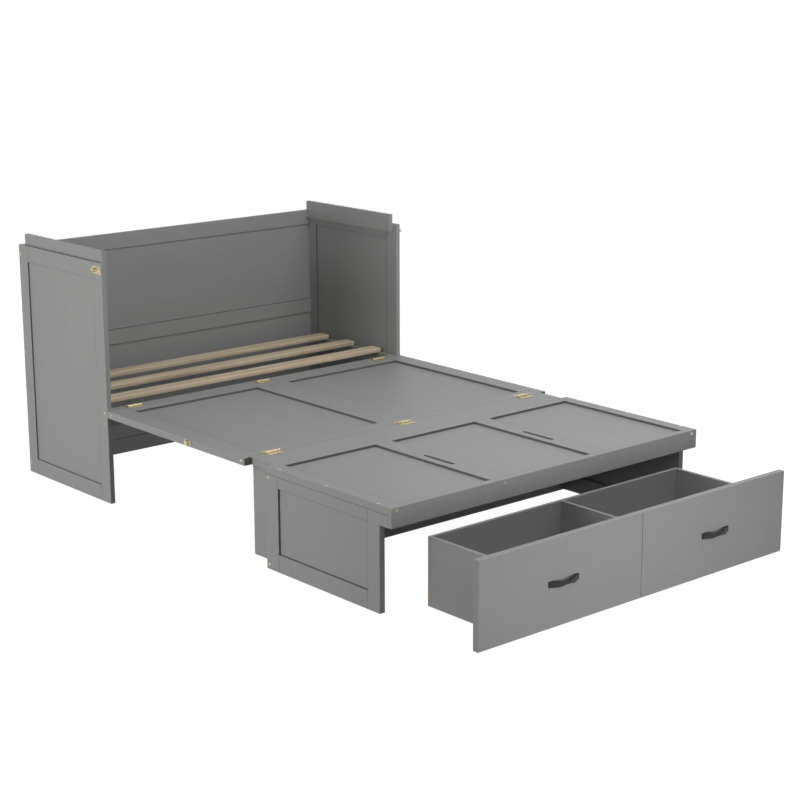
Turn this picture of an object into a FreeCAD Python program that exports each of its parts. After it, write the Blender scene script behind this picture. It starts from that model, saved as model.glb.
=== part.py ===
import FreeCAD, Part
import Sketcher
import os
import re

# Wall bed, unfolded: cabinet at the head, hinged platform, foot bench and a drawer on wheels.
# X runs across the bed, right as seen from the foot. Y runs towards the head. Z is up from the floor.
# The origin is on the floor, at the middle of the space that the unfolded bed takes up.

SIZES = [
    # Cabinet at the head
    ("cabinet_width", 1630),
    ("cabinet_depth", 674),
    ("cabinet_height", 1036),
    ("side_thick", 21),
    ("frame_width", 70),
    ("panel_thick", 9),
    ("panel_recess", 6),
    ("top_recess", 9),
    ("panel_groove", 8),
    ("back_thick", 20),
    ("middle_rail_base", 523),
    ("strip_thick", 20),
    ("strip_height", 81),
    ("strip_rise", 46),
    ("strip_setback", 27),
    ("front_rail_depth", 34),
    ("front_rail_height", 70),
    ("slat_width", 70),
    ("slat_thick", 22),
    ("slat_rear_gap", 79),
    ("slat_setback", 105),
    ("slat_end_gap", 1),
    ("bearer_thick", 20),
    ("bearer_height", 45),
    # Platform, hinged to the cabinet at its rear edge
    ("platform_height", 408),
    ("platform_thick", 30),
    ("platform_length", 972),
    ("platform_side_stile", 90),
    ("platform_centre_stile", 170),
    ("platform_rail", 74),
    ("seam_gap", 0.8),
    # Foot bench
    ("foot_strip_depth", 130),
    ("foot_strip_inset", 32),
    ("leg_inset", 67),
    ("leg_thick", 22),
    ("leg_reach", 36),
    ("stretcher_height", 70),
    ("stretcher_thick", 20),
    ("bench_step", 2.5),
    ("bench_depth", 731),
    ("bench_top_thick", 30),
    ("bench_side_stile", 57),
    ("bench_mid_stile", 85),
    ("bench_rear_rail", 48),
    ("bench_front_rail", 12),
    ("apron_thick", 18),
    ("apron_height", 75),
    ("bench_side_thick", 24),
    ("bench_side_setback", 65),
    ("bench_rear_stile", 76),
    ("bench_front_stile", 67),
    ("bench_top_rail", 46),
    ("bench_bottom_rail", 72),
    ("bench_back_thick", 20),
    ("slot_length", 170),
    ("slot_width", 20),
    # Drawer
    ("drawer_front_thick", 25),
    ("drawer_floor_gap", 5),
    ("drawer_top_gap", 2),
    ("groove_width", 3),
    ("groove_depth", 2),
    ("drawer_box_inset", 124.5),
    ("drawer_box_depth", 394),
    ("drawer_box_base", 20),
    ("drawer_box_drop", 49),
    ("drawer_side_thick", 15),
    ("drawer_divider_thick", 12),
    ("drawer_bottom_thick", 9),
    ("drawer_bottom_base", 66),
    ("drawer_bottom_groove", 6),
    ("drawer_travel", 485),
    ("pull_length", 147),
    ("pull_projection", 28),
    ("pull_thick", 8),
    ("pull_end_height", 22),
    ("pull_mid_height", 11),
    ("pull_foot_length", 22),
    ("pull_foot_thick", 5),
    # Wheels under the drawer
    ("wheel_radius", 25),
    ("wheel_width", 18),
    ("wheel_edge", 2),
    ("wheel_inset_side", 110),
    ("wheel_inset_end", 70),
    ("bracket_thick", 2.5),
    ("bracket_length", 44),
    ("bracket_cheek_gap", 1),
    ("axle_radius", 3),
    ("running_clearance", 0.05),
    # Butt hinges
    ("hinge_length", 70),
    ("hinge_leaf_width", 32),
    ("hinge_leaf_thick", 2),
    ("hinge_inset", 114),
    ("knuckle_radius", 4),
    ("knuckle_gap", 0.3),
    ("hinge_lift", 4.3),
    ("hinge_pin_radius", 1.6),
    # Surface bolts that lock the raised platform
    ("bolt_drop", 30.7),
    ("bolt_radius", 4),
    ("bolt_length", 70),
    ("bolt_standoff", 7),
    ("bolt_tip_setback", 2),
    ("bolt_plate_length", 66),
    ("bolt_plate_height", 32),
    ("bolt_plate_thick", 2),
    ("bolt_plate_setback", 3),
    ("bolt_guide_length", 8),
    ("bolt_rear_guide_setback", 41),
    ("bolt_guide_height", 16),
    ("bolt_knob_radius", 3.5),
    ("bolt_knob_length", 9),
    ("bolt_knob_setback", 40),
    ("keeper_length", 46),
    ("keeper_height", 18),
    ("keeper_thick", 3),
    ("keeper_block_length", 18),
    ("keeper_clearance", 0.6),
    # One overrun for every cut
    ("overrun", 5),
]

# Places that follow from the sizes. All Y places hang on hinge_y, the platform's rear hinge line.
PLACES = {
    "bench_reach": "platform_length + foot_strip_depth + bench_depth",
    "drawer_back_reach": "bench_reach - bench_side_setback + drawer_travel",
    "drawer_face_reach": "drawer_back_reach + drawer_front_thick",
    "total_reach": "drawer_face_reach + pull_projection",
    "hinge_y": "(total_reach - cabinet_depth) / 2",
    "half_inside": "cabinet_width / 2 - side_thick",
    "back_y": "hinge_y + cabinet_depth - back_thick",
    "slat_room": "cabinet_depth - back_thick - slat_setback - slat_rear_gap",
    "slat_pitch": "(slat_room - slat_width) / 2",
    "platform_base": "platform_height - platform_thick",
    "platform_front_y": "hinge_y - platform_length",
    "axis_z": "platform_height + hinge_lift",
    "hinge_spacing": "half_inside - hinge_inset",
    "bench_width": "cabinet_width - 2 * bench_step",
    "bench_rear_y": "hinge_y - platform_length - foot_strip_depth",
    "bench_front_y": "hinge_y - bench_reach",
    "bench_side_y": "bench_front_y + bench_side_setback",
    "bench_base": "platform_height - bench_top_thick",
    "bench_bay": "(bench_width - 2 * bench_side_stile - 2 * bench_mid_stile) / 3",
    "drawer_back_y": "hinge_y - drawer_back_reach",
    "drawer_face_y": "hinge_y - drawer_face_reach",
    "drawer_rear_y": "drawer_back_y + drawer_box_depth",
    "drawer_front_top": "platform_height - apron_height - drawer_top_gap",
    "drawer_box_width": "bench_width - 2 * bench_side_thick - 2 * drawer_box_inset",
    "drawer_box_height": "drawer_front_top - drawer_box_drop - drawer_box_base",
    "pull_z": "(drawer_floor_gap + drawer_front_top) / 2",
    "pull_x": "bench_width / 4",
    "pull_bow_radius": "(pull_length * pull_length / 4 + pull_projection * pull_projection) / (2 * pull_projection)",
    "bolt_z": "cabinet_height - bolt_drop",
    "bolt_height": "bolt_z - axis_z",
    "bolt_out": "cabinet_width / 2 + bolt_standoff",
}

doc = FreeCAD.newDocument("WallBed")
sheet = doc.addObject("Spreadsheet::Sheet", "Sizes")
for row, (alias, value) in enumerate(SIZES, start=1):
    sheet.set(f"A{row}", alias)
    sheet.set(f"B{row}", str(value))
    sheet.setAlias(f"B{row}", alias)
doc.recompute()

ALIASES = {alias for alias, value in SIZES}
nodes = {}


def bound(text):
    """Spell out the places in an expression and point every size at its cell."""
    text = str(text)
    while True:
        spelled = re.sub(r"\b[a-z]\w*\b", lambda m: f"({PLACES[m[0]]})" if m[0] in PLACES else m[0], text)
        if spelled == text:
            break
        text = spelled
    return re.sub(r"\b[a-z]\w*\b", lambda m: f"Sizes.{m[0]}" if m[0] in ALIASES else m[0], text)


def bind(item, **expressions):
    """Bind properties to sizes. A double underscore stands for a dot."""
    for name, text in expressions.items():
        item.setExpression(name.replace("__", "."), bound(text))
    return item


def place(item, x, y, z):
    """Put an object's base point at three bound places."""
    return bind(item, Placement__Base__x=x, Placement__Base__y=y, Placement__Base__z=z)


def block(name, x, y, z, length, width, height):
    """A rectangular piece from its lowest corner and its size along X, Y and Z."""
    item = doc.addObject("Part::Box", name)
    bind(item, Length=length, Width=width, Height=height)
    return place(item, x, y, z)


def rod(name, direction, x, y, z, radius, height):
    """A round piece from the middle of its start face, along X, Y or Z."""
    item = doc.addObject("Part::Cylinder", name)
    bind(item, Radius=radius, Height=height)
    quarter = 90
    turns = {
        "X": FreeCAD.Rotation(FreeCAD.Vector(0, 1, 0), quarter),
        "Y": FreeCAD.Rotation(FreeCAD.Vector(1, 0, 0), -quarter),
        "Z": FreeCAD.Rotation(),
    }
    item.Placement.Rotation = turns[direction]
    return place(item, x, y, z)


def cut(name, base, *tools):
    """One piece less one or more others."""
    item = doc.addObject("Part::Cut", name)
    item.Base = base
    item.Tool = tools[0] if len(tools) == 1 else group(f"{name}_tools", *tools)
    return item


def fuse(name, *pieces):
    """Several touching forms made one piece."""
    item = doc.addObject("Part::MultiFuse", name)
    item.Shapes = list(pieces)
    item.Refine = True
    return item


def group(name, *pieces):
    """Separate solids kept together."""
    item = doc.addObject("Part::Compound", name)
    item.Links = list(pieces)
    return item


def node(item, label):
    """Mark an object as a sub-part and give it its name."""
    item.Label = label
    nodes[label] = item
    return item


def lower_x(side, outside, thick):
    """Lower X of a piece whose outer face lies at a distance from the middle, on side -1 or 1."""
    return f"-({outside})" if side < 0 else f"({outside}) - ({thick})"


def board(plane, name, depth_at, depth, u, v, wide, tall):
    """A board in the plane yz, xz or xy, from its lowest corner."""
    if plane == "yz":
        return block(name, depth_at, u, v, depth, wide, tall)
    if plane == "xz":
        return block(name, u, depth_at, v, wide, depth, tall)
    return block(name, u, v, depth_at, wide, tall, depth)


def panelled(label, plane, depth_at, depth, panel_at, u, v, wide, tall, stiles, rails, middles=(), panels=None):
    """A frame of stiles and rails, with panels let into grooves.

    Stiles run the full height. Rails fit between them. Middles are further stiles between the rails,
    each as (distance from the frame's edge, width).
    """
    first, last = stiles
    low, high = rails
    edges = [("0", first)] + list(middles) + [(f"({wide}) - ({last})", last)]
    inner_v = f"({v}) + ({low})"
    inner_tall = f"({tall}) - ({low}) - ({high})"
    count = len(edges) - 1
    panel_labels = panels or [f"{label}_panel"]
    inserts = []
    for bay in range(count):
        start = f"({u}) + ({edges[bay][0]}) + ({edges[bay][1]})"
        stop = f"({u}) + ({edges[bay + 1][0]})"
        insert = board(
            plane, f"{label}_insert{bay}", panel_at, "panel_thick",
            f"{start} - panel_groove", f"{inner_v} - panel_groove",
            f"({stop}) - ({start}) + 2 * panel_groove", f"{inner_tall} + 2 * panel_groove",
        )
        inserts.append(node(insert, panel_labels[bay]))
    members = []
    for index, (offset, width) in enumerate(edges):
        outer = index in (0, count)
        stile = board(
            plane, f"{label}_stile{index}", depth_at, depth, f"({u}) + ({offset})",
            v if outer else inner_v, width, tall if outer else inner_tall,
        )
        members.append(stile)
    rail_u = f"({u}) + ({first})"
    rail_wide = f"({wide}) - ({first}) - ({last})"
    members.append(board(plane, f"{label}_low_rail", depth_at, depth, rail_u, v, rail_wide, low))
    high_v = f"({v}) + ({tall}) - ({high})"
    members.append(board(plane, f"{label}_high_rail", depth_at, depth, rail_u, high_v, rail_wide, high))
    grooved = []
    for index, member in enumerate(members):
        beside = inserts[max(0, index - 1):index + 1] if index <= count else inserts
        grooved.append(cut(f"{label}_member{index}", member, *beside))
    return grooved


# Cabinet sides: shaker frames with a panel set back from both faces
for side, word in ((-1, "left"), (1, "right")):
    side_x = lower_x(side, "cabinet_width / 2", "side_thick")
    members = panelled(
        f"cabinet_{word}_side", "yz", side_x, "side_thick", f"{side_x} + (side_thick - panel_thick) / 2",
        "hinge_y", "0", "cabinet_depth", "cabinet_height",
        ("frame_width", "frame_width"), ("frame_width", "frame_width"),
        panels=[f"cabinet_{word}_side_panel"],
    )
    node(group(f"cabinet_{word}_side_members", *members), f"cabinet_{word}_side_frame")

    strip = block(
        f"{word}_strip", lower_x(side, "half_inside", "strip_thick"), "hinge_y + strip_setback",
        "cabinet_height + strip_rise - strip_height",
        "strip_thick", "cabinet_depth - back_thick - strip_setback", "strip_height",
    )
    node(strip, f"top_strip_{word}")

    bearer = block(
        f"{word}_bearer", lower_x(side, "half_inside", "bearer_thick"), "hinge_y + seam_gap + front_rail_depth",
        "platform_height - bearer_height",
        "bearer_thick", "cabinet_depth - back_thick - front_rail_depth - seam_gap", "bearer_height",
    )
    node(bearer, f"slat_bearer_{word}")

# Cabinet back: three rails across, with panels let in between
back_rails = []
back_levels = {
    "bottom": "0",
    "middle": "middle_rail_base",
    "top": "cabinet_height - frame_width",
}
back_panels = []
for word, low, high in (("lower", "bottom", "middle"), ("upper", "middle", "top")):
    panel_base = f"{back_levels[low]} + frame_width - panel_groove"
    panel = block(
        f"back_{word}_panel", "-(half_inside)", "back_y + panel_recess", panel_base,
        "2 * half_inside", "panel_thick", f"{back_levels[high]} + panel_groove - ({panel_base})",
    )
    back_panels.append(node(panel, f"cabinet_back_{word}_panel"))
for word, level in back_levels.items():
    rail = block(
        f"back_{word}_rail", "-(half_inside)", "back_y", level, "2 * half_inside", "back_thick", "frame_width",
    )
    beside = {"bottom": back_panels[:1], "middle": back_panels, "top": back_panels[1:]}[word]
    node(cut(f"back_{word}_rail_grooved", rail, *beside), f"cabinet_back_{word}_rail")

# Cross rail that carries the rear hinges
front_rail = block(
    "front_rail_board", "-(half_inside)", "hinge_y + seam_gap", "platform_height - front_rail_height",
    "2 * half_inside", "front_rail_depth", "front_rail_height",
)
node(front_rail, "cabinet_front_rail")

# Pine slats, laid across on the bearers
for index, word in enumerate(("front", "middle", "rear")):
    slat = block(
        f"{word}_slat", "-(half_inside) + slat_end_gap", f"hinge_y + slat_setback + {index} * slat_pitch",
        "platform_height", "2 * half_inside - 2 * slat_end_gap", "slat_width", "slat_thick",
    )
    node(slat, f"slat_{word}")

# Platform: two panels in one frame, as wide as the cabinet
members = panelled(
    "platform", "xy", "platform_base", "platform_thick", "platform_height - top_recess - panel_thick",
    "-cabinet_width / 2", "platform_front_y", "cabinet_width", "platform_length - seam_gap",
    ("platform_side_stile", "platform_side_stile"), ("platform_rail", "platform_rail"),
    middles=[("cabinet_width / 2 - platform_centre_stile / 2", "platform_centre_stile")],
    panels=["platform_panel_left", "platform_panel_right"],
)
node(group("platform_frame_members", *members), "platform_frame")

# Foot bench: strip behind the bench top, on two legs that also carry the platform's front end
foot_strip = block(
    "foot_strip_board", "-cabinet_width / 2 + foot_strip_inset", "bench_rear_y", "bench_base",
    "cabinet_width - 2 * foot_strip_inset", "foot_strip_depth - seam_gap", "bench_top_thick",
)
node(foot_strip, "foot_strip")
for side, word in ((-1, "left"), (1, "right")):
    leg = block(
        f"{word}_leg", lower_x(side, "cabinet_width / 2 - leg_inset", "leg_thick"), "bench_rear_y", "0",
        "leg_thick", "foot_strip_depth + leg_reach", "bench_base - seam_gap",
    )
    shoulder = block(
        f"{word}_leg_shoulder", lower_x(side, "cabinet_width / 2 - leg_inset", "leg_thick"), "bench_rear_y",
        "bench_base - overrun", "leg_thick", "foot_strip_depth - seam_gap", "overrun",
    )
    node(fuse(f"{word}_leg_shouldered", leg, shoulder), f"foot_leg_{word}")
leg_inner = "cabinet_width / 2 - leg_inset - leg_thick"
stretcher = block(
    "stretcher_board", f"-({leg_inner})", "bench_rear_y + foot_strip_depth - seam_gap - stretcher_thick",
    "bench_base - stretcher_height",
    f"2 * ({leg_inner})", "stretcher_thick", "stretcher_height",
)
node(stretcher, "foot_stretcher")

# Bench top: three panels between a rear rail, side stiles, middle stiles and a front rail behind the apron
bench_top_depth = "bench_depth - apron_thick"
first_middle = "bench_side_stile + bench_bay"
second_middle = "bench_side_stile + 2 * bench_bay + bench_mid_stile"
members = panelled(
    "bench_top", "xy", "bench_base", "bench_top_thick", "platform_height - top_recess - panel_thick",
    "-bench_width / 2", "bench_front_y + apron_thick", "bench_width", bench_top_depth,
    ("bench_side_stile", "bench_side_stile"), ("bench_front_rail", "bench_rear_rail"),
    middles=[(first_middle, "bench_mid_stile"), (second_middle, "bench_mid_stile")],
    panels=["bench_panel_left", "bench_panel_centre", "bench_panel_right"],
)

# Finger slots through the two middle stiles
panel_front_y = "bench_front_y + apron_thick + bench_front_rail"
panel_rear_y = "bench_rear_y - bench_rear_rail"
slot_y = f"(({panel_front_y}) + ({panel_rear_y})) / 2"
for index, offset in ((1, first_middle), (2, second_middle)):
    slot_x = f"-bench_width / 2 + {offset} + bench_mid_stile / 2"
    straight = "slot_length - slot_width"
    middle_cut = block(
        f"slot{index}_middle", f"{slot_x} - slot_width / 2", f"{slot_y} - ({straight}) / 2", "bench_base - overrun",
        "slot_width", straight, "bench_top_thick + 2 * overrun",
    )
    ends = []
    for end, sign in (("front", "-"), ("rear", "+")):
        ends.append(rod(
            f"slot{index}_{end}_end", "Z", slot_x, f"{slot_y} {sign} ({straight}) / 2", "bench_base - overrun",
            "slot_width / 2", "bench_top_thick + 2 * overrun",
        ))
    slot = fuse(f"slot{index}", middle_cut, *ends)
    members[index] = cut(f"bench_top_slotted{index}", members[index], slot)
node(group("bench_top_members", *members), "bench_top_frame")

apron = block(
    "apron_board", "-bench_width / 2", "bench_front_y", "platform_height - apron_height",
    "bench_width", "apron_thick", "apron_height",
)
node(apron, "bench_apron")

# Bench sides: shaker frames to the floor. The top rail runs on to the apron above the drawer front.
for side, word in ((-1, "left"), (1, "right")):
    side_x = lower_x(side, "bench_width / 2", "bench_side_thick")
    members = panelled(
        f"bench_{word}_side", "yz", side_x, "bench_side_thick", f"{side_x} + (bench_side_thick - panel_thick) / 2",
        "bench_side_y", "0", "bench_rear_y - bench_side_y", "bench_base",
        ("bench_front_stile", "bench_rear_stile"), ("bench_bottom_rail", "bench_top_rail"),
        panels=[f"bench_{word}_side_panel"],
    )
    nose = block(
        f"bench_{word}_nose", side_x, "bench_front_y + apron_thick", "bench_base - bench_top_rail",
        "bench_side_thick", "bench_side_setback - apron_thick", "bench_top_rail",
    )
    members[0] = fuse(f"bench_{word}_nosed_stile", members[0], nose)
    node(group(f"bench_{word}_side_members", *members), f"bench_{word}_side_frame")

bench_back = block(
    "bench_back_board", "-(bench_width / 2 - bench_side_thick)", "bench_rear_y - bench_back_thick", "0",
    "bench_width - 2 * bench_side_thick", "bench_back_thick", "bench_base",
)
node(bench_back, "bench_back")

# Drawer front with one groove down its middle
front_board = block(
    "drawer_front_board", "-bench_width / 2", "drawer_face_y", "drawer_floor_gap",
    "bench_width", "drawer_front_thick", "drawer_front_top - drawer_floor_gap",
)
groove = block(
    "drawer_groove", "-groove_width / 2", "drawer_face_y - overrun", "drawer_floor_gap - overrun",
    "groove_width", "groove_depth + overrun", "drawer_front_top - drawer_floor_gap + 2 * overrun",
)
node(cut("drawer_front_grooved", front_board, groove), "drawer_front")

# Drawer box: sides, back, divider and a bottom let into grooves
box_inside = "drawer_box_width - 2 * drawer_side_thick"
bottom = block(
    "drawer_bottom_board", f"-({box_inside}) / 2 - drawer_bottom_groove", "drawer_back_y", "drawer_bottom_base",
    f"{box_inside} + 2 * drawer_bottom_groove", "drawer_box_depth - drawer_side_thick + drawer_bottom_groove",
    "drawer_bottom_thick",
)
node(bottom, "drawer_bottom")
for side, word in ((-1, "left"), (1, "right")):
    wall = block(
        f"drawer_{word}_wall", lower_x(side, "drawer_box_width / 2", "drawer_side_thick"), "drawer_back_y",
        "drawer_box_base", "drawer_side_thick", "drawer_box_depth", "drawer_box_height",
    )
    node(cut(f"drawer_{word}_wall_grooved", wall, bottom), f"drawer_side_{word}")
drawer_back = block(
    "drawer_back_board", f"-({box_inside}) / 2", "drawer_rear_y - drawer_side_thick", "drawer_box_base",
    box_inside, "drawer_side_thick", "drawer_box_height",
)
node(cut("drawer_back_grooved", drawer_back, bottom), "drawer_back")
divider_base = "drawer_bottom_base + drawer_bottom_thick"
divider = block(
    "drawer_divider_board", "-drawer_divider_thick / 2", "drawer_back_y", divider_base,
    "drawer_divider_thick", "drawer_box_depth - drawer_side_thick",
    f"drawer_box_base + drawer_box_height - ({divider_base})",
)
node(divider, "drawer_divider")

# Bow pulls: a bent bar, slimmer in the middle than at its feet
pulls = []
for side, word in ((-1, "left"), (1, "right")):
    centre_x = f"{side} * pull_x"
    centre_y = "drawer_face_y - pull_projection + pull_bow_radius"
    low_z = "pull_z - pull_end_height / 2"
    outer = rod(f"pull_{word}_outer", "Z", centre_x, centre_y, low_z, "pull_bow_radius", "pull_end_height")
    inner = rod(
        f"pull_{word}_inner", "Z", centre_x, centre_y, f"{low_z} - overrun", "pull_bow_radius - pull_thick",
        "pull_end_height + 2 * overrun",
    )
    ring = cut(f"pull_{word}_ring", outer, inner)
    window = block(
        f"pull_{word}_window", f"{centre_x} - pull_length / 2", "drawer_face_y - pull_projection - overrun", low_z,
        "pull_length", "pull_projection + overrun", "pull_end_height",
    )
    bow = doc.addObject("Part::Common", f"pull_{word}_bow")
    bow.Base = ring
    bow.Tool = window
    shaving = "(pull_end_height - pull_mid_height) / 2"
    waist_radius = f"(pull_length * pull_length / 16 + ({shaving}) * ({shaving})) / (2 * ({shaving}))"
    waists = []
    for name, sign in (("above", "+"), ("below", "-")):
        waists.append(rod(
            f"pull_{word}_{name}", "Y", centre_x, "drawer_face_y - pull_projection - overrun",
            f"pull_z {sign} (pull_mid_height / 2 + {waist_radius})", waist_radius,
            "pull_projection + 2 * overrun",
        ))
    slim_bow = cut(f"pull_{word}_slim_bow", bow, *waists)
    feet = []
    for name, sign in (("first", "-"), ("second", "+")):
        inward = f"- pull_foot_length / 2 {sign} (pull_length - pull_foot_length) / 2"
        feet.append(block(
            f"pull_{word}_{name}_foot", f"{centre_x} {inward}", "drawer_face_y - pull_foot_thick", low_z,
            "pull_foot_length", "pull_foot_thick", "pull_end_height",
        ))
    pulls.append(fuse(f"pull_{word}_whole", slim_bow, *feet))
node(group("pull_pair", *pulls), "drawer_pulls")

# Fixed wheels under the drawer bottom, hidden behind its front
wheel_half_track = "drawer_box_width / 2 - wheel_inset_side"
brackets = []
axles = []
for side, side_word in ((-1, "left"), (1, "right")):
    for end_word in ("front", "rear"):
        word = f"{end_word}_{side_word}"
        wheel_x = f"{side} * ({wheel_half_track})"
        wheel_y = (
            "drawer_back_y + wheel_inset_end" if end_word == "front"
            else "drawer_rear_y - drawer_side_thick - wheel_inset_end"
        )
        body = doc.addObject("PartDesign::Body", f"wheel_{word}_body")
        origin_plane = next(f for f in body.Origin.OriginFeatures if f.Role == "XZ_Plane")
        sketch = body.newObject("Sketcher::SketchObject", f"wheel_{word}_profile")
        sketch.AttachmentSupport = [(origin_plane, "")]
        sketch.MapMode = "FlatFace"
        bore = "axle_radius + running_clearance"
        outline = [
            ("-wheel_width / 2", bore),
            ("wheel_width / 2", bore),
            ("wheel_width / 2", "wheel_radius - wheel_edge"),
            ("wheel_width / 2 - wheel_edge", "wheel_radius"),
            ("-(wheel_width / 2 - wheel_edge)", "wheel_radius"),
            ("-wheel_width / 2", "wheel_radius - wheel_edge"),
        ]
        start_points = [(-2, 1), (2, 1), (2, 3), (1, 4), (-1, 4), (-2, 3)]
        corners = len(outline)
        for index in range(corners):
            here = FreeCAD.Vector(*start_points[index], 0)
            there = FreeCAD.Vector(*start_points[(index + 1) % corners], 0)
            sketch.addGeometry(Part.LineSegment(here, there), False)
        for index in range(corners):
            sketch.addConstraint(Sketcher.Constraint("Coincident", index, 2, (index + 1) % corners, 1))
        for index, (along, out) in enumerate(outline):
            x_now, y_now = start_points[index]
            number = sketch.addConstraint(Sketcher.Constraint("DistanceX", -1, 1, index, 1, x_now))
            sketch.setExpression(f"Constraints[{number}]", bound(along))
            number = sketch.addConstraint(Sketcher.Constraint("DistanceY", -1, 1, index, 1, y_now))
            sketch.setExpression(f"Constraints[{number}]", bound(out))
        turned = body.newObject("PartDesign::Revolution", f"wheel_{word}_turned")
        turned.Profile = sketch
        turned.ReferenceAxis = (sketch, ["H_Axis"])
        turned.Angle = 360
        place(body, wheel_x, wheel_y, "wheel_radius")
        node(body, f"wheel_{word}")

        cheek_top = "drawer_bottom_base - bracket_thick"
        cheek_low = "wheel_radius - 2 * axle_radius"
        half_gap = "wheel_width / 2 + bracket_cheek_gap"
        top_plate = block(
            f"bracket_{word}_plate", f"{wheel_x} - ({half_gap}) - bracket_thick",
            f"{wheel_y} - bracket_length / 2", cheek_top,
            f"2 * ({half_gap}) + 2 * bracket_thick", "bracket_length", "bracket_thick",
        )
        cheeks = []
        for name, sign in (("inner", "-"), ("outer", "+")):
            cheek_x = f"{wheel_x} - bracket_thick / 2 {sign} ({half_gap} + bracket_thick / 2)"
            cheeks.append(block(
                f"bracket_{word}_{name}", cheek_x, f"{wheel_y} - 2 * axle_radius", cheek_low,
                "bracket_thick", "4 * axle_radius", f"{cheek_top} - ({cheek_low})",
            ))
        axle = rod(
            f"axle_{word}", "X", f"{wheel_x} - ({half_gap}) - bracket_thick", wheel_y, "wheel_radius",
            "axle_radius", f"2 * ({half_gap}) + 2 * bracket_thick",
        )
        bracket = fuse(f"bracket_{word}_whole", top_plate, *cheeks)
        brackets.append(cut(f"bracket_{word}_drilled", bracket, axle))
        axles.append(axle)
node(group("wheel_bracket_group", *brackets), "wheel_brackets")
node(group("wheel_axle_group", *axles), "wheel_axles")

# Butt hinges: leaves on the top faces, five knuckles round one pin
KNUCKLES = 5


def leaf(name, centre_x, axis_y, sign, own):
    """One hinge leaf towards -Y or +Y, with the knuckles that it owns."""
    step = f"hinge_length / {KNUCKLES}"
    start_x = f"{centre_x} - hinge_length / 2"
    clear = "knuckle_radius + 2 * knuckle_gap"
    far = "hinge_leaf_width"
    plate_y = f"{axis_y} - ({far})" if sign < 0 else f"{axis_y} + {clear}"
    plate = block(
        f"{name}_plate", start_x, plate_y, "platform_height", "hinge_length", f"{far} - ({clear})",
        "hinge_leaf_thick",
    )
    forms = [plate]
    for index in own:
        low = f"{start_x} + {index} * {step} + knuckle_gap / 2"
        long = f"{step} - knuckle_gap"
        forms.append(rod(f"{name}_knuckle{index}", "X", low, axis_y, "axis_z", "knuckle_radius", long))
        tab_y = f"{axis_y} - ({clear}) - knuckle_gap" if sign < 0 else axis_y
        forms.append(block(
            f"{name}_tab{index}", low, tab_y, "platform_height", long, f"{clear} + knuckle_gap", "hinge_leaf_thick",
        ))
    bore = rod(
        f"{name}_bore", "X", f"{start_x} - overrun", axis_y, "axis_z", "hinge_pin_radius + running_clearance",
        "hinge_length + 2 * overrun",
    )
    return cut(f"{name}_bored", fuse(f"{name}_solid", *forms), bore)


def hinge_row(row, axis_y, pin_label, near_label, far_label):
    """Three hinges on one line: the leaves towards the head, those towards the foot, and the pins."""
    near, far, pins = [], [], []
    for index, place_share in enumerate((-1, 0, 1)):
        centre_x = f"{place_share} * hinge_spacing"
        near.append(leaf(f"{row}{index}_head", centre_x, axis_y, 1, (0, 2, 4)))
        far.append(leaf(f"{row}{index}_foot", centre_x, axis_y, -1, (1, 3)))
        pins.append(rod(
            f"{row}{index}_pin", "X", f"{centre_x} - hinge_length / 2", axis_y, "axis_z", "hinge_pin_radius",
            "hinge_length",
        ))
    node(group(f"{row}_head_leaves", *near), near_label)
    node(group(f"{row}_foot_leaves", *far), far_label)
    node(group(f"{row}_pins", *pins), pin_label)


hinge_row("rear_hinge", "hinge_y", "rear_hinge_pins", "rear_hinge_cabinet_leaves", "rear_hinge_platform_leaves")
hinge_row(
    "front_hinge", "platform_front_y", "front_hinge_pins", "front_hinge_platform_leaves", "front_hinge_foot_leaves",
)

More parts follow.
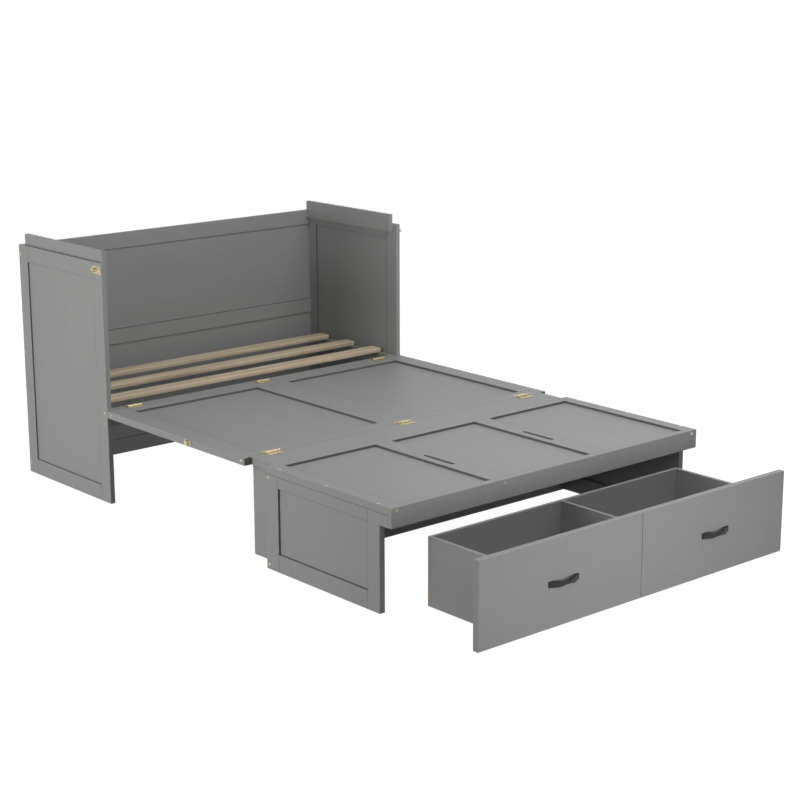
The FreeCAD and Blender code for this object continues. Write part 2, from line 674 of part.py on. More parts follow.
# Surface bolts on the cabinet sides and keepers on the platform's edges
for side, word in ((-1, "left"), (1, "right")):
    face = "cabinet_width / 2"
    bolt_x = f"{side} * (bolt_out)"
    plate_y = "hinge_y + bolt_plate_setback"
    plate = block(
        f"bolt_{word}_plate", lower_x(side, f"{face} + bolt_plate_thick", "bolt_plate_thick"), plate_y,
        "bolt_z - bolt_plate_height / 2", "bolt_plate_thick", "bolt_plate_length", "bolt_plate_height",
    )
    guide_depth = "bolt_standoff + bolt_radius + bolt_plate_thick"
    guides = []
    for name, start in (
        ("front", plate_y),
        ("rear", f"{plate_y} + bolt_rear_guide_setback"),
    ):
        guides.append(block(
            f"bolt_{word}_{name}_guide", lower_x(side, f"{face} + {guide_depth}", guide_depth), start,
            "bolt_z - bolt_guide_height / 2", guide_depth, "bolt_guide_length", "bolt_guide_height",
        ))
    passage = rod(
        f"bolt_{word}_passage", "Y", bolt_x, f"{plate_y} - overrun", "bolt_z",
        "bolt_radius + running_clearance", "bolt_plate_length + 2 * overrun",
    )
    body = fuse(f"bolt_{word}_body", plate, *guides)
    node(cut(f"bolt_{word}_body_bored", body, passage), f"bolt_body_{word}")

    shaft = rod(
        f"bolt_{word}_shaft", "Y", bolt_x, "hinge_y + bolt_tip_setback", "bolt_z", "bolt_radius", "bolt_length",
    )
    knob_reach = "bolt_knob_length + bolt_radius"
    knob = rod(
        f"bolt_{word}_knob", "X", bolt_x if side > 0 else f"{bolt_x} - ({knob_reach})",
        "hinge_y + bolt_knob_setback", "bolt_z", "bolt_knob_radius", knob_reach,
    )
    node(fuse(f"bolt_{word}_whole", shaft, knob), f"bolt_{word}")

    keeper_y = "hinge_y - bolt_height"
    keeper_z = "platform_height - platform_thick / 2 - keeper_height / 2"
    keeper_plate = block(
        f"keeper_{word}_plate", lower_x(side, f"{face} + keeper_thick", "keeper_thick"),
        f"{keeper_y} - keeper_length / 2", keeper_z, "keeper_thick", "keeper_length", "keeper_height",
    )
    keeper_block = block(
        f"keeper_{word}_block", lower_x(side, f"{face} + {guide_depth}", guide_depth),
        f"{keeper_y} - keeper_block_length / 2", keeper_z, guide_depth, "keeper_block_length", "keeper_height",
    )
    keeper_hole = rod(
        f"keeper_{word}_hole", "Z", bolt_x, keeper_y, f"{keeper_z} - overrun",
        "bolt_radius + keeper_clearance", "keeper_height + 2 * overrun",
    )
    keeper = fuse(f"keeper_{word}_solid", keeper_plate, keeper_block)
    node(cut(f"keeper_{word}_drilled", keeper, keeper_hole), f"keeper_{word}")

doc.recompute()

# Every object must be sound before anything is written
faults = [item.Name for item in doc.Objects if {"Invalid", "Error"} & set(item.State)]
for label, item in nodes.items():
    if item.Shape.isNull() or not item.Shape.isValid() or not item.Shape.Solids:
        faults.append(label)
if faults:
    raise SystemExit("failed objects: " + ", ".join(faults))

os.makedirs("parts", exist_ok=True)
for label, item in nodes.items():
    item.Shape.exportStep(os.path.join("parts", f"{label}.step"))
print(f"{len(nodes)} sub-parts, {sum(len(item.Shape.Solids) for item in nodes.values())} solids")
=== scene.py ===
import math

import bmesh
import bpy
from mathutils import Matrix, Vector


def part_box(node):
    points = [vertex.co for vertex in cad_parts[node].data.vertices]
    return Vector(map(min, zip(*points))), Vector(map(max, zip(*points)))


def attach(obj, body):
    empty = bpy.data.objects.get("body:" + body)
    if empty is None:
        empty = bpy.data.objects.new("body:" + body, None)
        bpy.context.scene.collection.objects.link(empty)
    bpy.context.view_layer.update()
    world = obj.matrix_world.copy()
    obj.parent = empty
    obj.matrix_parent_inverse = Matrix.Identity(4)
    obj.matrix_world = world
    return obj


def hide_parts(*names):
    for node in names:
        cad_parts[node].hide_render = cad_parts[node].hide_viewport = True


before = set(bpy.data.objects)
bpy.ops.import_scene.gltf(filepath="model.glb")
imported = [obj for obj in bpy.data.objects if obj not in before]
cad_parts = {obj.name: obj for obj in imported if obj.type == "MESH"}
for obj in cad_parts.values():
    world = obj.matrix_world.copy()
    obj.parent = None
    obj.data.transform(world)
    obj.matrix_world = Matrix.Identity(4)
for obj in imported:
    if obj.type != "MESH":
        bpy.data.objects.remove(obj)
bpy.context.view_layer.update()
MM = 0.001
X, Y, Z = 0, 1, 2


# Colours and shader nodes

def colour(code):
    """Linear colour from an sRGB hex code."""
    parts = [int(code[i:i + 2], 16) / 255 for i in (1, 3, 5)]
    return tuple(p / 12.92 if p <= 0.04045 else ((p + 0.055) / 1.055) ** 2.4 for p in parts) + (1.0,)


def add(tree, kind, *links, **settings):
    """Add a shader node. Links are (input, output socket) pairs, settings are properties or inputs."""
    node = tree.nodes.new(kind)
    for key, value in settings.items():
        if hasattr(node, key):
            setattr(node, key, value)
        else:
            node.inputs[key.replace("_", " ")].default_value = value
    for key, socket in links:
        tree.links.new(socket, node.inputs[key])
    return node


def math_node(tree, operation, first, second=None):
    """A Math node on sockets or numbers."""
    node = tree.nodes.new("ShaderNodeMath")
    node.operation = operation
    for index, value in enumerate((first, second)):
        if isinstance(value, (int, float)):
            node.inputs[index].default_value = value
        elif value is not None:
            tree.links.new(value, node.inputs[index])
    return node.outputs[0]


def blend(tree, first, second, share):
    """The first socket's share of a sum, and the rest from the second."""
    return math_node(
        tree, "ADD",
        math_node(tree, "MULTIPLY", first, share),
        math_node(tree, "MULTIPLY", second, 1 - share),
    )


def between(tree, factor, low, high):
    """Spread a factor of 0 to 1 over low to high."""
    return math_node(tree, "ADD", math_node(tree, "MULTIPLY", factor, high - low), low)


def start(name):
    """An empty material with a Principled shader joined to its output."""
    made = bpy.data.materials.new(name)
    made.use_nodes = True
    tree = made.node_tree
    tree.nodes.clear()
    shader = tree.nodes.new("ShaderNodeBsdfPrincipled")
    output = tree.nodes.new("ShaderNodeOutputMaterial")
    tree.links.new(shader.outputs[0], output.inputs[0])
    return made, tree, shader


def stretched(tree, along, slow, fast):
    """Object coordinates for a pattern that runs along one axis.

    Slow is its scale along that axis and fast its scale across, in cycles a metre.
    """
    place = add(tree, "ShaderNodeTexCoord")
    scale = [slow if axis == along else fast for axis in "XYZ"]
    return add(tree, "ShaderNodeMapping", ("Vector", place.outputs["Object"]), Scale=scale).outputs[0]


def noise(tree, vector, scale, detail=3.0, rough=0.5, bend=0.0):
    return add(
        tree, "ShaderNodeTexNoise", ("Vector", vector),
        Scale=scale, Detail=detail, Roughness=rough, Distortion=bend,
    ).outputs[0]


def ramp(tree, factor, *stops):
    """A colour ramp from (position, hex colour) stops."""
    node = add(tree, "ShaderNodeValToRGB", ("Fac", factor))
    while len(node.color_ramp.elements) < len(stops):
        node.color_ramp.elements.new(0.5)
    for element, (at, code) in zip(node.color_ramp.elements, stops):
        element.position = at
        element.color = colour(code)
    return node.outputs[0]


def bumped(tree, shader, height, strength, distance):
    bump = add(tree, "ShaderNodeBump", ("Height", height), Strength=strength, Distance=distance)
    tree.links.new(bump.outputs[0], shader.inputs["Normal"])


# Hairlines where boards meet, and painted shade in the panels' recesses

# Half the width of a dark line. It is about twice the real joint's, so that it shows in the render. The same
# width serves the painted shade at the recess walls and panel edges
JOINT_AND_SHADE_LINE = 1.1 * MM
# How dark the joints and the painted shade are, as a share of their own colour
JOINT_AND_SHADE_DEPTH = 0.8
# The colour of the joints and of the painted recess shade
JOINT_AND_SHADE_COLOUR = "#4A4C4B"


def joint_and_shade_mask(tree, lines):
    """1 on the dark lines: joints, and painted shade at recess walls and panel edges. A line is (axis, at,
    axis that it runs along, its start, its end).
    """
    place = add(tree, "ShaderNodeTexCoord")
    split = add(tree, "ShaderNodeSeparateXYZ", ("Vector", place.outputs["Object"])).outputs
    total = None
    for axis, at, across, low, high in lines:
        off = math_node(tree, "ABSOLUTE", math_node(tree, "SUBTRACT", split[axis], at))
        near = math_node(tree, "LESS_THAN", off, JOINT_AND_SHADE_LINE)
        inside = math_node(
            tree, "MULTIPLY",
            math_node(tree, "GREATER_THAN", split[across], low),
            math_node(tree, "LESS_THAN", split[across], high),
        )
        mask = math_node(tree, "MULTIPLY", near, inside)
        total = mask if total is None else math_node(tree, "MAXIMUM", total, mask)
    return total


# How deep each panel's edge is hidden in its frame's groove
GROOVE = 8 * MM
# A line that runs from one side of the bed to the other, or along the whole of it
ACROSS_BED, ALONG_BED = (-1.0, 1.0), (-2.0, 2.0)


def seen_edges(panel, axis):
    """Where a panel leaves its grooves, on one axis."""
    low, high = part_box(panel)
    return low[axis] + GROOVE, high[axis] - GROOVE


def frame_lines(name, panels, side, end, past=0.0):
    """Lines along a frame's stiles and at the ends of its rails, at the panels' edges: joints on the rails'
    faces, and painted shade over the whole recess walls there. Rails run along the side axis.
    """
    low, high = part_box(name)
    edges = sorted(edge for panel in panels for edge in seen_edges(panel, side))
    ends = seen_edges(panels[0], end)
    lines = [(side, at, end, low[end], high[end]) for at in (edges[0], edges[-1])]
    lines += [(end, at, side, edges[0] - past, edges[-1] + past) for at in ends]
    lines += [(side, at, end, *ends) for at in edges[1:-1]]
    return lines


def panel_lines(panels, side, end):
    """Lines round the visible edge of each panel: partly the gap where it enters its groove, partly painted
    shade in the recess corner.
    """
    lines = []
    for panel in panels:
        low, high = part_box(panel)
        lines += [(side, at, end, low[end], high[end]) for at in seen_edges(panel, side)]
        lines += [(end, at, side, low[side], high[side]) for at in seen_edges(panel, end)]
    return lines


PLATFORM_PANELS = ["platform_panel_left", "platform_panel_right"]
BENCH_PANELS = ["bench_panel_left", "bench_panel_centre", "bench_panel_right"]
# The right sides' boards lie opposite the left ones', so one set of lines serves both
CABINET_PANEL = ["cabinet_left_side_panel"]
BENCH_SIDE_PANEL = ["bench_left_side_panel"]

# Dark lines on the frames and panels: joints, and painted shade on the recess walls and along the panel edges
cabinet_lines = frame_lines("cabinet_left_side_frame", CABINET_PANEL, Y, Z)
platform_lines = frame_lines("platform_frame", PLATFORM_PANELS, X, Y)
platform_lines.append((Y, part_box("platform_frame")[0].y, X, *ACROSS_BED))
side_low, side_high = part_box("bench_left_side_frame")
bench_lines = frame_lines("bench_top_frame", BENCH_PANELS, X, Y)
bench_lines += [(Y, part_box("bench_top_frame")[1].y, X, *ACROSS_BED), (Z, side_high.z, Y, *ALONG_BED)]
# With the bench side's own top edge, and the front end of its top rail
bench_side_lines = frame_lines("bench_left_side_frame", BENCH_SIDE_PANEL, Y, Z, past=GROOVE) + [
    (Z, side_high.z, Y, side_low.y, side_high.y),
    (Y, side_low.y, Z, seen_edges(BENCH_SIDE_PANEL[0], Z)[1], side_high.z),
]
# Lines at the edges of the back's rails: joints, and painted shade at the raised rails' steps
back_edges = [
    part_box("cabinet_back_bottom_rail")[1].z, *(corner.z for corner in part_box("cabinet_back_middle_rail")),
    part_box("cabinet_back_top_rail")[0].z,
]
back_lines = [(Z, at, X, *ACROSS_BED) for at in back_edges]


# Materials

GREY_DARK, GREY_LIGHT = "#949695", "#999B9A"


def paint(name, along, lines=(), dark=GREY_DARK, light=GREY_LIGHT):
    """Satin grey paint on a board, with the wood's grain showing faintly along its length."""
    made, tree, shader = start(name)
    # Grain lines 9 mm apart: real grain is about 2 mm apart, too fine to show in the render
    grain = noise(tree, stretched(tree, along, 3, 110), 1.0, 5.0, 0.6)
    # Slow changes of tone, over 250 mm across the board
    cloud = noise(tree, stretched(tree, along, 1.5, 4), 1.0, 2.0)
    tone = ramp(tree, blend(tree, grain, cloud, 0.6), (0.35, dark), (0.65, light))
    # Joint lines, and painted shade at the recess walls and panel edges, mixed over the paint's colour
    if lines:
        depth = math_node(tree, "MULTIPLY", joint_and_shade_mask(tree, lines), JOINT_AND_SHADE_DEPTH)
        tone = add(
            tree, "ShaderNodeMixRGB", ("Fac", depth), ("Color1", tone), Color2=colour(JOINT_AND_SHADE_COLOUR),
        ).outputs[0]
    tree.links.new(tone, shader.inputs["Base Color"])
    # Brush and spray texture, about 1 mm across
    fine = noise(tree, stretched(tree, along, 40, 900), 1.0, 2.0)
    tree.links.new(between(tree, fine, 0.46, 0.60), shader.inputs["Roughness"])
    bumped(tree, shader, blend(tree, grain, fine, 0.6), 0.08, 0.4 * MM)
    shader.inputs["Specular IOR Level"].default_value = 0.35
    return made


def pine(name):
    """Planed, unfinished pine, with darker latewood lines along the board."""
    made, tree, shader = start(name)
    # Broad bands about 32 mm apart, and latewood lines about 7 mm apart
    bands = noise(tree, stretched(tree, "X", 1.6, 26), 1.2)
    latewood = noise(tree, stretched(tree, "X", 2.2, 150), 1.0, 4.0, bend=0.6)
    tone = ramp(
        tree, blend(tree, latewood, bands, 0.6),
        (0.30, "#B7A289"), (0.48, "#DBC7AC"), (0.62, "#ECDCC3"), (0.80, "#F2E7D3"),
    )
    tree.links.new(tone, shader.inputs["Base Color"])
    # Fibres about 1 mm apart
    bumped(tree, shader, noise(tree, stretched(tree, "X", 30, 1200), 1.0, 2.0), 0.25, 0.4 * MM)
    shader.inputs["Roughness"].default_value = 0.62
    shader.inputs["Specular IOR Level"].default_value = 0.3
    return made


def speckled(name, dark, light, low, high, spots_a_metre, finer, strength):
    """A surface whose colour and roughness vary in small spots, with a finer bump."""
    made, tree, shader = start(name)
    place = add(tree, "ShaderNodeTexCoord").outputs["Object"]
    spots = noise(tree, place, spots_a_metre, 4.0)
    tree.links.new(ramp(tree, spots, (0.35, dark), (0.65, light)), shader.inputs["Base Color"])
    tree.links.new(between(tree, spots, low, high), shader.inputs["Roughness"])
    bumped(tree, shader, noise(tree, place, spots_a_metre * finer, 2.0), strength, 0.2 * MM)
    return made, shader


def metal(name, dark, light, low, high, spots_a_metre):
    """Metal with a slightly uneven colour and sheen."""
    made, shader = speckled(name, dark, light, low, high, spots_a_metre, 4, 0.1)
    shader.inputs["Metallic"].default_value = 1.0
    return made


def coated(name, dark, light, low, high, spots_a_metre):
    """A coating or a moulding with a fine texture and a dull sheen."""
    made, shader = speckled(name, dark, light, low, high, spots_a_metre, 3, 0.2)
    shader.inputs["Specular IOR Level"].default_value = 0.3
    return made


MATERIALS = {
    # Satin grey paint, even and slightly soft in its highlights, on boards that run across the bed
    "paint_across": paint("grey paint, grain across", "X"),
    # The same on boards that run from foot to head
    "paint_along": paint("grey paint, grain along", "Y"),
    # The same on upright boards
    "paint_up": paint("grey paint, grain upright", "Z"),
    # The same on the four kinds of frame: fine dark lines show where stiles and rails meet, and the same
    # lines paint shade over the recess walls at the panels' edges
    "paint_cabinet_side": paint("grey paint, cabinet side", "Z", cabinet_lines),
    "paint_platform": paint("grey paint, platform", "Y", platform_lines),
    "paint_bench_top": paint("grey paint, bench top", "Y", bench_lines),
    "paint_bench_side": paint("grey paint, bench side", "Z", bench_side_lines),
    # The same on their panels: a dark line where each panel enters its frame, partly the gap and partly
    # painted shade in the recess corner
    "paint_platform_panel": paint("grey paint, platform panel", "Y", panel_lines(PLATFORM_PANELS, X, Y)),
    "paint_bench_panel": paint("grey paint, bench panel", "Y", panel_lines(BENCH_PANELS, X, Y)),
    "paint_cabinet_panel": paint("grey paint, cabinet panel", "Z", panel_lines(CABINET_PANEL, Y, Z)),
    "paint_bench_side_panel": paint(
        "grey paint, bench side panel", "Z", panel_lines(BENCH_SIDE_PANEL, Y, Z)
    ),
    # The same on the cabinet's back, whose rails and panels meet in lines from side to side; the lines also
    # paint shade at the raised rails' edges
    "paint_back": paint("grey paint, cabinet back", "X", back_lines),
    # The same on the drawer front, a shade more neutral
    "paint_front": paint("grey paint, drawer front", "X", dark="#959796", light="#999B99"),
    # Unfinished planed pine, pale and matt
    "pine": pine("planed pine"),
    # Lacquered yellow brass, pale and softly bright: hinges, latches and screw heads
    "brass": metal("yellow brass", "#A39675", "#D6CBA8", 0.32, 0.48, 260),
    # Copper-washed steel screws, reddish, on the drawer's sides
    "copper": metal("copper-washed screws", "#A8663F", "#C98A5C", 0.30, 0.42, 260),
    # Dark bronze coating, nearly black and dull, on the pulls
    "bronze": coated("dark bronze coating", "#191816", "#282623", 0.48, 0.62, 420),
    # Black moulded plastic wheels, dull
    "plastic": coated("black moulded plastic", "#1B1B1B", "#262626", 0.45, 0.6, 500),
    # Zinc-plated steel brackets and axles, light grey
    "steel": metal("zinc-plated steel", "#8F9293", "#B4B7B8", 0.30, 0.48, 180),
}

# The material of the nodes whose names start so. The first that fits is taken
FINISHES = [
    ("rear_hinge", "brass"), ("front_hinge", "brass"), ("bolt", "brass"), ("keeper", "brass"),
    ("drawer_pulls", "bronze"), ("wheel_brackets", "steel"), ("wheel_axles", "steel"), ("wheel_", "plastic"),
    ("slat_front", "pine"), ("slat_middle", "pine"), ("slat_rear", "pine"),
    ("platform_frame", "paint_platform"), ("platform_panel", "paint_platform_panel"),
    ("bench_top_frame", "paint_bench_top"), ("bench_panel", "paint_bench_panel"),
    ("cabinet_left_side_frame", "paint_cabinet_side"), ("cabinet_right_side_frame", "paint_cabinet_side"),
    ("cabinet_left_side_panel", "paint_cabinet_panel"), ("cabinet_right_side_panel", "paint_cabinet_panel"),
    ("bench_left_side_frame", "paint_bench_side"), ("bench_right_side_frame", "paint_bench_side"),
    ("bench_left_side_panel", "paint_bench_side_panel"), ("bench_right_side_panel", "paint_bench_side_panel"),
    ("cabinet_back", "paint_back"), ("drawer_front", "paint_front"), ("foot_leg", "paint_up"),
]


def finish_of(node):
    """Which material a CAD node takes. Other boards are painted, with the grain along their length."""
    for beginning, finish in FINISHES:
        if node.startswith(beginning):
            return finish
    low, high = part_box(node)
    size = high - low
    longest = max(range(3), key=lambda axis: size[axis])
    return ("paint_across", "paint_along", "paint_up")[longest]


for name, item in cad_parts.items():
    for slot in item.material_slots:
        slot.material = MATERIALS[finish_of(name)]


# New pieces

def piece(name, mesh, material, body, smooth=True):
    """Make a mesh into an object in the shared frame, and let it ride on a body."""
    data = bpy.data.meshes.new(name)
    mesh.to_mesh(data)
    mesh.free()
    for face in data.polygons:
        face.use_smooth = smooth
    item = bpy.data.objects.new(name, data)
    bpy.context.scene.collection.objects.link(item)
    data.materials.append(MATERIALS[material])
    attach(item, body)
    return item


def ease(mesh, edges, width, segments):
    """Round edges over."""
    bmesh.ops.bevel(
        mesh, geom=edges, offset=width, offset_type="OFFSET", segments=segments, profile=0.5,
        affect="EDGES", clamp_overlap=True, material=-1,
    )


# Radii of a slat's corners and long edges
SLAT_CORNER, SLAT_EDGE = 12 * MM, 5 * MM


def rise(edge):
    """How far an edge climbs."""
    return abs(edge.verts[0].co.z - edge.verts[1].co.z)


def slat(node):
    """A pine slat in the node's place, its corners and long edges rounded over."""
    low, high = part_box(node)
    size, middle = high - low, (high + low) / 2
    mesh = bmesh.new()
    bmesh.ops.create_cube(mesh, size=1.0)
    bmesh.ops.scale(mesh, vec=size, verts=mesh.verts)
    bmesh.ops.translate(mesh, vec=middle, verts=mesh.verts)
    ease(mesh, [edge for edge in mesh.edges if rise(edge) > size.z / 2], SLAT_CORNER, 5)
    level = [edge for edge in mesh.edges if rise(edge) < 0.1 * MM]
    rims = [edge for edge in level if len({round(face.normal.z) for face in edge.link_faces}) > 1]
    ease(mesh, rims, SLAT_EDGE, 4)
    item = piece(f"pine_{node}", mesh, "pine", "cabinet")
    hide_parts(node)


for name in ("slat_front", "slat_middle", "slat_rear"):
    slat(name)


def screw(mesh, at, facing, radius, turn):
    """Add a screw head with a cross recess. It stands a little proud of the surface at a point."""
    head = bmesh.new()
    proud, sunk = 0.16 * radius, 0.3 * MM
    # Reach and half the width of the cross's arms
    arm, slim = 0.52 * radius, 0.13 * radius
    bmesh.ops.create_cone(
        head, cap_ends=True, segments=20, radius1=radius, radius2=0.88 * radius, depth=proud + sunk,
        matrix=Matrix.Translation((0.0, 0.0, (proud - sunk) / 2)),
    )
    for normal in (Vector((1.0, 0.0, 0.0)), Vector((0.0, 1.0, 0.0))):
        for reach in (-arm, -slim, slim, arm):
            whole = head.verts[:] + head.edges[:] + head.faces[:]
            bmesh.ops.bisect_plane(head, geom=whole, dist=1e-7, plane_co=normal * reach, plane_no=normal)
    cross = []
    for face in head.faces:
        x, y, z = face.calc_center_median()
        near, far = sorted((abs(x), abs(y)))
        if z > 0.99 * proud and near < slim and far < arm:
            cross.append(face)
    lowered = bmesh.ops.extrude_face_region(head, geom=cross)["geom"]
    corners = [part for part in lowered if isinstance(part, bmesh.types.BMVert)]
    bmesh.ops.translate(head, verts=corners, vec=(0.0, 0.0, -0.85 * proud))
    upright = Vector(facing).to_track_quat("Z", "Y").to_matrix().to_4x4()
    placed = Matrix.Translation(at) @ upright @ Matrix.Rotation(math.radians(turn), 4, "Z")
    bmesh.ops.transform(head, matrix=placed, verts=head.verts)
    passed_on = bpy.data.meshes.new("screw_head")
    head.to_mesh(passed_on)
    head.free()
    mesh.from_mesh(passed_on)
    bpy.data.meshes.remove(passed_on)


def screws(name, body, heads, material="brass"):
    """One object of screw heads. Each head is (place, facing, radius in mm), and none is lined up."""
    mesh = bmesh.new()
    for index, (at, facing, radius) in enumerate(heads):
        screw(mesh, at, facing, radius * MM, 37 * index % 90)
    return piece(name, mesh, material, body, smooth=False)


# Screw places: distances from the edges of the boards, in millimetres

UP, TO_FOOT = (0, 0, 1), (0, -1, 0)
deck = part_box("platform_frame")[1].z
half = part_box("platform_frame")[1].x

LEAF_THICK, HALF_HINGE = 2 * MM, 35 * MM
# Holes in a hinge leaf: along the pin from its middle, and out from the pin
LEAF_HOLES = ((-24, 14), (0, 24), (24, 14))


def leaf_screws(pins, way):
    """Three screws in each of a row's three leaves, on one side of the hinge line."""
    low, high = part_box(pins)
    outer = high.x - HALF_HINGE
    return [
        ((x + along * MM, (low.y + high.y) / 2 + way * out * MM, deck + LEAF_THICK), UP, 2.7)
        for x in (0.0, outer, -outer) for along, out in LEAF_HOLES
    ]


def cabinet_heads():
    """In the sides' rear and front edges, in the top strips and in the latches."""
    heads = leaf_screws("rear_hinge_pins", 1)
    low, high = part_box("cabinet_right_side_frame")
    rear, front = high.y - 9 * MM, low.y + 22 * MM
    strip_low, strip_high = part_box("top_strip_right")
    plate_low, plate_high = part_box("bolt_body_right")
    for way in (-1, 1):
        out = (way, 0, 0)
        for y, z in (
            (rear, high.z - 42 * MM), (rear, 554 * MM), (rear, 45 * MM),
            (front, deck - 11 * MM), (front, deck - 58 * MM),
        ):
            heads.append(((way * half, y, z), out, 5.5))
        for y in (strip_high.y - 36 * MM, strip_high.y - 224 * MM, strip_low.y + 45 * MM):
            heads.append(((way * strip_low.x, y, strip_low.z + 20 * MM), (-way, 0, 0), 4.2))
        for y in (plate_low.y + 4.5 * MM, plate_high.y - 6 * MM):
            for z in (plate_low.z + 4 * MM, plate_high.z - 4 * MM):
                heads.append(((way * (half + 2 * MM), y, z), out, 2.2))
    return heads


def platform_heads():
    """In the platform's side edges and keepers, and four on its centre stile."""
    heads = leaf_screws("rear_hinge_pins", -1) + leaf_screws("front_hinge_pins", 1)
    low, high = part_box("platform_frame")
    keeper_low, keeper_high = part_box("keeper_right")
    keeper_z = (keeper_low.z + keeper_high.z) / 2
    for way in (-1, 1):
        out = (way, 0, 0)
        for y in (high.y - 27.2 * MM, low.y + 23 * MM):
            heads.append(((way * half, y, deck - 13 * MM), out, 5.5))
        for y in (keeper_low.y + 7 * MM, keeper_high.y - 7 * MM):
            heads.append(((way * (half + 3 * MM), y, keeper_z), out, 2.6))
    for x, y in ((3, 440), (79, 445), (-2, 300), (63, 289)):
        heads.append(((x * MM, y * MM, deck), UP, 4.2))
    return heads


def foot_heads():
    """Along the bench top's sides, in the apron and in the bench's sides."""
    heads = leaf_screws("front_hinge_pins", -1)
    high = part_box("bench_top_frame")[1]
    apron_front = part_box("bench_apron")[0].y
    for way in (-1, 1):
        for from_rear in (79, 362, 652):
            heads.append(((way * (high.x - 7.5 * MM), high.y - from_rear * MM, deck), UP, 6.0))
        for x in (785, 260):
            heads.append(((way * x * MM, apron_front, deck - 14 * MM), TO_FOOT, 6.0))
        for z in (side_high.z - 14 * MM, 19 * MM):
            heads.append(((way * high.x, high.y - 15 * MM, z), (way, 0, 0), 5.5))
    return heads


def drawer_heads():
    """Two in each side of the drawer's box, into its back."""
    low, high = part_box("drawer_side_right")
    return [
        ((way * high.x, high.y - 7.5 * MM, z), (way, 0, 0), 5.0)
        for way in (-1, 1) for z in (high.z - 42 * MM, low.z + 42 * MM)
    ]


screws("cabinet_screws", "cabinet", cabinet_heads())
screws("platform_screws", "platform", platform_heads())
screws("foot_screws", "foot_unit", foot_heads())
screws("drawer_screws", "drawer", drawer_heads(), "copper")


# Camera: fitted to the photograph, as a position and three turns

EYE = Vector((-4.8485, -5.7304, 2.3498))
YAW, PITCH, ROLL = (math.radians(a) for a in (40.862, 14.029, -0.162))
FOCAL_PX, IMAGE_PX, SENSOR = 1860.79, 800, 36.0
FARTHEST = 100.0


def photo_camera():
    """Place the camera where the photograph was taken from."""
    ahead = Vector((
        math.sin(YAW) * math.cos(PITCH), math.cos(YAW) * math.cos(PITCH), -math.sin(PITCH)
    ))
    level = Vector((math.cos(YAW), -math.sin(YAW), 0.0))
    above = level.cross(ahead)
    right = level * math.cos(ROLL) + above * math.sin(ROLL)
    up = above * math.cos(ROLL) - level * math.sin(ROLL)
    lens = bpy.data.cameras.new("photo_camera")
    lens.sensor_width = SENSOR
    lens.sensor_fit = "HORIZONTAL"
    lens.lens = FOCAL_PX * SENSOR / IMAGE_PX
    lens.clip_end = FARTHEST
    camera = bpy.data.objects.new("photo_camera", lens)
    camera.matrix_world = Matrix.Translation(EYE) @ Matrix((right, up, -ahead)).transposed().to_4x4()
    bpy.context.scene.collection.objects.link(camera)
    bpy.context.scene.camera = camera


photo_camera()
bpy.context.scene.view_settings.view_transform = "Standard"


# Floor, world and lamps

# How much light the floor sends back to the object, and the share of its own shading that is seen
FLOOR_BOUNCE, FLOOR_SHADING = 0.06, 0.18
# Added to what is seen of the floor, so that it is white away from shadows
FLOOR_GLOW = 0.98
# Light from all round on the object, and the white that is seen behind it
AMBIENT, BACKDROP = 0.11, 1.0
FLOOR_HALF, FLOOR_DROP = 30.0, 0.5 * MM


def two_ways(tree, lighting, seen, output_kind):
    """Use one shader for light on the object and another where the background itself is seen.

    It is seen from the camera, off metal and through glass.
    """
    path = add(tree, "ShaderNodeLightPath").outputs
    either = math_node(tree, "MAXIMUM", path["Is Camera Ray"], path["Is Glossy Ray"])
    seen_directly = math_node(tree, "MAXIMUM", either, path["Is Transmission Ray"])
    choice = tree.nodes.new("ShaderNodeMixShader")
    tree.links.new(seen_directly, choice.inputs[0])
    tree.links.new(lighting.outputs[0], choice.inputs[1])
    tree.links.new(seen.outputs[0], choice.inputs[2])
    output = tree.nodes.new(output_kind)
    tree.links.new(choice.outputs[0], output.inputs[0])


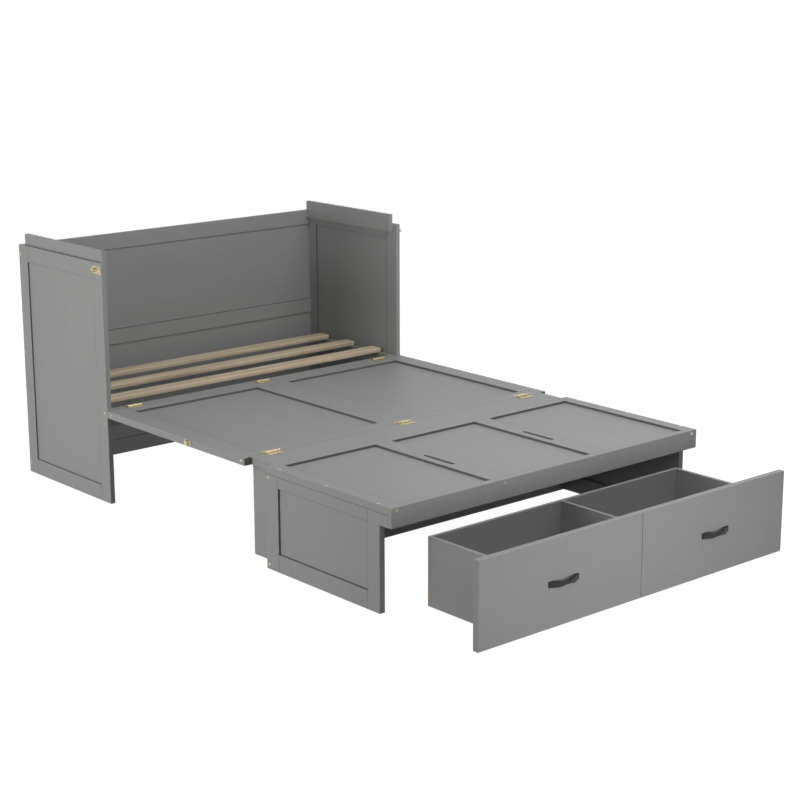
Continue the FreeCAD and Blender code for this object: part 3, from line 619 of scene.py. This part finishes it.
def studio_floor():
    """A pale floor that keeps the object's shadow."""
    material = bpy.data.materials.new("pale studio floor")
    material.use_nodes = True
    tree = material.node_tree
    tree.nodes.clear()
    bounce = add(tree, "ShaderNodeBsdfDiffuse", Color=(FLOOR_BOUNCE,) * 3 + (1.0,))
    shading = add(tree, "ShaderNodeBsdfDiffuse", Color=(FLOOR_SHADING,) * 3 + (1.0,))
    glow = add(tree, "ShaderNodeEmission", Strength=FLOOR_GLOW)
    seen = add(tree, "ShaderNodeAddShader")
    tree.links.new(shading.outputs[0], seen.inputs[0])
    tree.links.new(glow.outputs[0], seen.inputs[1])
    two_ways(tree, bounce, seen, "ShaderNodeOutputMaterial")
    ground = bmesh.new()
    bmesh.ops.create_grid(ground, x_segments=1, y_segments=1, size=FLOOR_HALF)
    data = bpy.data.meshes.new("studio_floor")
    ground.to_mesh(data)
    ground.free()
    data.materials.append(material)
    floor = bpy.data.objects.new("studio_floor", data)
    floor.location.z = -FLOOR_DROP
    bpy.context.scene.collection.objects.link(floor)


def studio_world():
    """A dim even light, and a white background."""
    world = bpy.data.worlds.new("studio")
    world.use_nodes = True
    bpy.context.scene.world = world
    tree = world.node_tree
    tree.nodes.clear()
    white = (1.0, 1.0, 1.0, 1.0)
    ambient = add(tree, "ShaderNodeBackground", Strength=AMBIENT, Color=white)
    backdrop = add(tree, "ShaderNodeBackground", Strength=BACKDROP, Color=white)
    two_ways(tree, ambient, backdrop, "ShaderNodeOutputWorld")


def lamp(name, at, towards, size, watts, tint=(1.0, 1.0, 1.0)):
    """A soft box. Its size is its width and its height."""
    light = bpy.data.lights.new(name, "AREA")
    light.shape = "RECTANGLE"
    light.size, light.size_y = size
    light.energy = watts
    light.color = tint
    item = bpy.data.objects.new(name, light)
    item.location = at
    item.visible_camera = False
    item.rotation_euler = (Vector(towards) - Vector(at)).to_track_quat("-Z", "Y").to_euler()
    bpy.context.scene.collection.objects.link(item)


studio_floor()
studio_world()
# Overhead for the tops, and a faintly warm one beside the cabinet for the left sides
lamp("overhead_box", (0.5, -1.2, 3.0), (0.1, -0.4, 0.4), (2.2, 2.2), 49)
lamp("left_box", (-4.5, 0.8, 1.1), (-0.8, 0.7, 0.5), (2.0, 2.0), 105, (1.0, 0.98, 0.965))
# High in front, and a low one that the drawer keeps out of the bench, whose inside is dark
lamp("high_box", (-2.0, -5.2, 3.4), (0.0, -0.3, 0.4), (2.5, 2.5), 37)
lamp("front_box", (-0.1, -2.7, 0.26), (-0.1, -1.4, 0.24), (2.0, 0.4), 11.5)
# For the sides that the photograph doesn't show
lamp("right_box", (4.6, -0.4, 1.1), (0.8, 0.2, 0.5), (2.0, 2.0), 45)
lamp("rear_box", (0.0, 5.5, 1.4), (0.0, 1.5, 0.5), (2.0, 2.0), 45)
